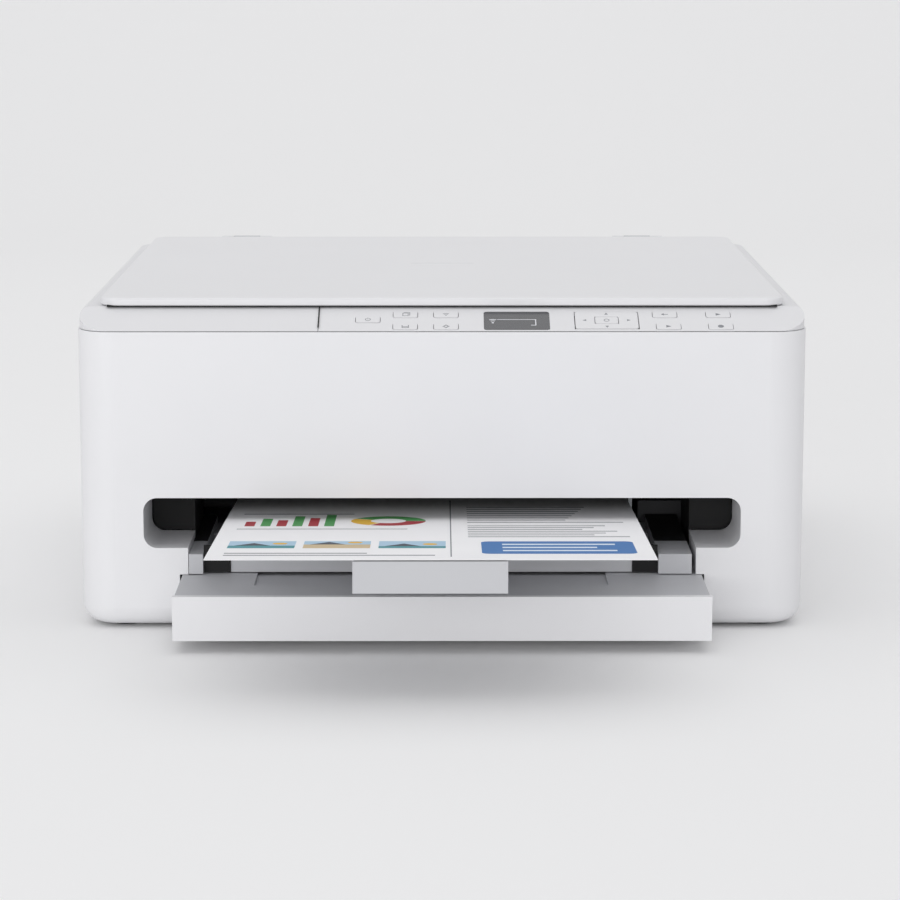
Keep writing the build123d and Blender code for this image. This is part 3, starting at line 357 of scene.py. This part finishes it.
def iconShapes():
    line = 0.35
    frontPage = [bar(-1.5, -1.5 + line, -1.6, 1.6), bar(1.2, 1.2 + line, -1.6, 1.6),
                 bar(-1.5, 1.55, 1.25, 1.6), bar(-1.5, 1.55, -1.6, -1.25)]
    start = [(-1.2, -1.3), (1.4, 0), (-1.2, 1.3)]
    stop = [(-1.5, -0.6), (-0.6, -1.5), (0.6, -1.5), (1.5, -0.6),
            (1.5, 0.6), (0.6, 1.5), (-0.6, 1.5), (-1.5, 0.6)]
    return {
        "power_key": strokeRing(0, 0, 1.1, 1.45, 120, 420) + [bar(-0.18, 0.18, 0.2, 1.8)],
        "copy_key": frontPage + [bar(2.0, 2.35, -1.2, 2.0), bar(-0.9, 2.35, 1.9, 2.25)],
        "scan_key": [bar(-1.8, 1.8, -1.5, -1.1), bar(-1.8, 1.8, -0.5, -0.1), bar(-1.8, -1.4, -1.5, 1.4),
                     bar(1.4, 1.8, -1.5, 1.4)],
        "wifi_key": strokeRing(0, -1.2, 2.2, 2.55, 50, 130) + strokeRing(0, -1.2, 1.2, 1.55, 50, 130)
                    + [roundBar(-0.35, 0.35, -1.5, -0.8, 0.34)],
        "setup_key": strokeRing(0, 0, 0.8, 1.3) + [bar(1.3, 1.8, -0.2, 0.2), bar(-1.8, -1.3, -0.2, 0.2),
                                                     bar(-0.2, 0.2, 1.3, 1.8), bar(-0.2, 0.2, -1.8, -1.3)],
        "back_key": [[(-1.8, 0), (-0.4, -1.2), (-0.4, 1.2)], bar(-0.4, 1.7, -0.25, 0.25)],
        "start_mono_key": [start],
        "start_colour_key": [start],
        "stop_key": [stop],
        "ok_key": strokeRing(0, 0, 1.1, 1.45),
    }


for keyName, shapes in iconShapes().items():
    inkPiece("mark_" + keyName, shapes, onKey(keyName), mark["ink"], "padInkGrey", keyName)

arrow = {"tip": [(1.1, 0), (-0.8, 0.9), (-0.8, -0.9)], "places": ((11.2, 0), (0, 6.9), (-11.2, 0), (0, -6.9))}
arrows = []
for quarter, (across, along) in enumerate(arrow["places"]):
    angle = quarter * math.pi / 2
    arrows.append([(across + u * math.cos(angle) - v * math.sin(angle),
                    along + u * math.sin(angle) + v * math.cos(angle)) for u, v in arrow["tip"]])
inkPiece("mark_nav_arrows", arrows, onKey("nav_pad"), mark["ink"], "padInkGrey", "nav_pad")

screenGlyphs = strokeRing(-12.2, -2.0, 3.2, 3.8, 60, 120) + strokeRing(-12.2, -2.0, 1.7, 2.3, 60, 120)
screenGlyphs += [roundBar(-12.8, -11.6, -2.6, -1.5, 0.5), bar(-10, 10, 1.2, 1.6), bar(9.4, 9.9, -4.5, 1.4),
                 bar(7.2, 9.9, -4.9, -4.4)]
inkPiece("display_glyphs", screenGlyphs, onKey("display"), mark["ink"], "screenPale", "scanner")
print("marks printed on the keys and display")


# the painted shade pieces (the strip under the lid, the slot walls and the arm tops) and the panel seam are
# black slabs of eight corners, the lower four first
slabFaces = [(0, 2, 3, 1), (4, 5, 7, 6), (0, 1, 5, 4), (2, 6, 7, 3), (0, 4, 6, 2), (1, 3, 7, 5)]


def blackSlab(name, corners, body):
    meshPiece(name, corners, slabFaces, "mouldedAbsBlack", body)


def boxCorners(low, high):
    return [(x, y, z) for z in (low[2], high[2]) for y in (low[1], high[1]) for x in (low[0], high[0])]


def bandCorners(left, right, rows, levels):
    # rows run up the slope, and are negative below the band's upper edge
    return [bandTop + Vector((x * mm, 0, 0)) + bandUp * (row * mm) + bandOut * (level * mm)
            for level in levels for row in rows for x in (left, right)]


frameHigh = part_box("scan_frame")[1]
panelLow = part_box("control_panel")[0]
lidLow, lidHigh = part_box("document_lid")
bandTop = Vector((0, lidLow.y, frameHigh.z)) + bandUp * (band["topBehindLid"] * mm)

# painted shade: a black strip along the band's upper edge under the lid stands for the shadowed gap there, and
# reads as the dark line under the lid's front edge
lidGapShade = {"rows": (-2.4, -0.1), "levels": (0.01, 0.25), "inset": 4}
gapShadeHalf = lidHigh.x / mm - lidGapShade["inset"]
blackSlab("lid_gap_painted_shade", bandCorners(-gapShadeHalf, gapShadeHalf, lidGapShade["rows"], lidGapShade["levels"]), "scanner")

# the joint between the frame and the key panel, filled by the panel's dark inner lip
panelSeam = {"rows": (-24.6, -0.4), "levels": (0.01, 0.06), "width": 0.7, "gap": 0.15}
seamLeft = panelLow.x / mm - panelSeam["gap"] - panelSeam["width"] / 2
blackSlab("panel_seam", bandCorners(seamLeft, seamLeft + panelSeam["width"], panelSeam["rows"],
                                    panelSeam["levels"]), "scanner")

# painted shade in the middle slot: black walls beside the tray stand for the dark gap between the tray and its
# arms, and black tops on the rear of the arms stand for the shade under the sheet
trayLow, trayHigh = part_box("output_tray")
shadeLayout = {"half": 103, "middle": -5.5, "leftArm": 7.2, "rightArm": 17, "rise": 10.2}
slotShadeWall = {"gap": 0.2, "start": 4, "thickness": 2, "height": 14}
armShadeTop = {"start": 34, "end": 2, "levels": (0.02, 0.4)}


def paintSlotShade(name, inner, outer, arm):
    # inner is the tray's edge, arm is the arm's inner side, and outer is its outer side
    low, high = sorted((inner, arm))
    front = trayLow.y + slotShadeWall["start"] * mm
    blackSlab("slot_painted_shade_" + name, boxCorners(
        (low + slotShadeWall["gap"] * mm, front, trayLow.z),
        (high - slotShadeWall["gap"] * mm, front + slotShadeWall["thickness"] * mm,
         trayLow.z + slotShadeWall["height"] * mm)), "housing")
    low, high = sorted((arm, outer))
    capLow, capHigh = (trayLow.z + (shadeLayout["rise"] + level) * mm for level in armShadeTop["levels"])
    blackSlab("arm_painted_shade_" + name, boxCorners((low, trayLow.y + armShadeTop["start"] * mm, capLow),
                                            (high, trayHigh.y - armShadeTop["end"] * mm, capHigh)), "housing")


paintSlotShade("1", (shadeLayout["middle"] - shadeLayout["half"]) * mm, trayLow.x, trayLow.x + shadeLayout["leftArm"] * mm)
paintSlotShade("3", (shadeLayout["middle"] + shadeLayout["half"]) * mm, trayHigh.x, trayHigh.x - shadeLayout["rightArm"] * mm)
# the black slabs placed in the slot and under the lid are painted shade
print("dark lines and shade_slabs placed")


# the screws that only show from behind: a sunk head with a cross standing in it
screwLook = {"radius": 3.0, "taper": 0.82, "depth": 0.8, "sunk": 0.5, "segments": 24,
             "arm": 1.1, "slot": 0.7, "slotDepth": 0.3,
             "shares": ((0.06, 0.4), (0.94, 0.4), (0.06, 0.75), (0.94, 0.75))}


def makeScrew(name, x, y, z):
    radius, depth = screwLook["radius"] * mm, screwLook["depth"] * mm
    mesh = bpy.data.meshes.new(name)
    build = bmesh.new()
    bmesh.ops.create_cone(build, cap_ends=True, segments=screwLook["segments"], radius1=radius,
                          radius2=radius * screwLook["taper"], depth=depth)
    for angle in (0, math.pi / 2):
        arm = bmesh.ops.create_cube(build, size=1.0)["verts"]
        bmesh.ops.scale(build, verts=arm, vec=(radius * screwLook["arm"], screwLook["slot"] * mm,
                                               screwLook["slotDepth"] * mm))
        bmesh.ops.rotate(build, verts=arm, cent=(0, 0, 0), matrix=Matrix.Rotation(angle, 3, "Z"))
        bmesh.ops.translate(build, verts=arm, vec=(0, 0, depth / 2))
    build.to_mesh(mesh)
    build.free()
    mesh.transform(Matrix.Translation((x, y, z)) @ Matrix.Rotation(-math.pi / 2, 4, "X"))
    piece = bpy.data.objects.new(name, mesh)
    bpy.context.collection.objects.link(piece)
    mesh.materials.append(materials["galvanisedSteel"])
    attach(piece, "housing")


rearLow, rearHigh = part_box("rear_panel")
rearSpan = rearHigh - rearLow
for number, (shareX, shareZ) in enumerate(screwLook["shares"]):
    makeScrew(f"rear_screw_{number}", rearLow.x + rearSpan.x * shareX, rearHigh.y - screwLook["sunk"] * mm,
              rearLow.z + rearSpan.z * shareZ)
print("screws placed")


# camera: the sheet's width and the vanishing points of the photograph give its distance, height and lens
view = {"focalPixels": 3033, "pixels": 900, "pitch": 9.75, "yaw": 0.151, "height": 355, "distance": 1521,
        "sensor": 36}
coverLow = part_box("main_cover")[0]
cameraData = bpy.data.cameras.new("camera")
cameraData.sensor_width = view["sensor"]
cameraData.lens = view["focalPixels"] * view["sensor"] / view["pixels"]
camera = bpy.data.objects.new("camera", cameraData)
bpy.context.collection.objects.link(camera)
camera.location = (0, coverLow.y - view["distance"] * mm, view["height"] * mm)
camera.rotation_euler = (math.radians(90 - view["pitch"]), 0, -math.radians(view["yaw"]))
bpy.context.scene.camera = camera


# a pale sweep under and behind the machine, with soft light from above and in front
studio = {"floorColour": "F3F3F3", "floorHalf": 6.0, "sweepBack": 3.0, "sweepRise": 3.5, "sweepRadius": 1.2,
          "sweepSteps": 16, "skyColour": "FDFDFF", "skyStrength": 0.54}


def makeSweep():
    profile = [(-studio["floorHalf"], 0.0)]
    back, radius = studio["sweepBack"], studio["sweepRadius"]
    for step in range(studio["sweepSteps"] + 1):
        angle = math.radians(-90 + 90 * step / studio["sweepSteps"])
        profile.append((back - radius + radius * math.cos(angle), radius + radius * math.sin(angle)))
    profile.append((back, studio["sweepRise"]))
    vertices = [(side * studio["floorHalf"], y, z) for y, z in profile for side in (-1, 1)]
    faces = [(2 * n, 2 * n + 1, 2 * n + 3, 2 * n + 2) for n in range(len(profile) - 1)]
    mesh = bpy.data.meshes.new("sweep")
    mesh.from_pydata(vertices, [], faces)
    for face in mesh.polygons:
        face.use_smooth = True
    sweep = bpy.data.objects.new("sweep", mesh)
    bpy.context.collection.objects.link(sweep)
    mesh.materials.append(makeMaterial("matteSweepPaper", {
        "colour": studio["floorColour"], "shade": studio["floorColour"], "roughness": 0.95, "ior": 1.45,
        "patchSize": 500, "grainSize": 3, "relief": 0.0}))


def softbox(name, location, target, size, power):
    # location, target and size are in metres, and power is in watts
    data = bpy.data.lights.new(name, "AREA")
    data.shape, data.size, data.size_y, data.energy = "RECTANGLE", size[0], size[1], power
    lamp = bpy.data.objects.new(name, data)
    bpy.context.collection.objects.link(lamp)
    lamp.location = location
    lamp.rotation_euler = (Vector(target) - Vector(location)).to_track_quat("-Z", "Y").to_euler()


makeSweep()
softbox("softbox_top", (0, 0.6, 2.6), (0, 0.3, 0.1), (5.0, 4.0), 40)
softbox("softbox_front", (-0.7, -2.5, 0.45), (0, 0, 0.1), (3.2, 0.8), 25)
softbox("softbox_left", (-2.2, -0.6, 0.9), (0, 0, 0.1), (1.2, 1.4), 1)
softbox("softbox_right", (2.2, -0.6, 0.9), (0, 0, 0.1), (1.2, 1.4), 1)
world = bpy.data.worlds.new("studio")
bpy.context.scene.world = world
world.use_nodes = True
sky = world.node_tree.nodes["Background"].inputs
sky["Color"].default_value = srgbToLinear(studio["skyColour"])
sky["Strength"].default_value = studio["skyStrength"]
bpy.context.scene.view_settings.view_transform = "Standard"
print("camera and studio ready")
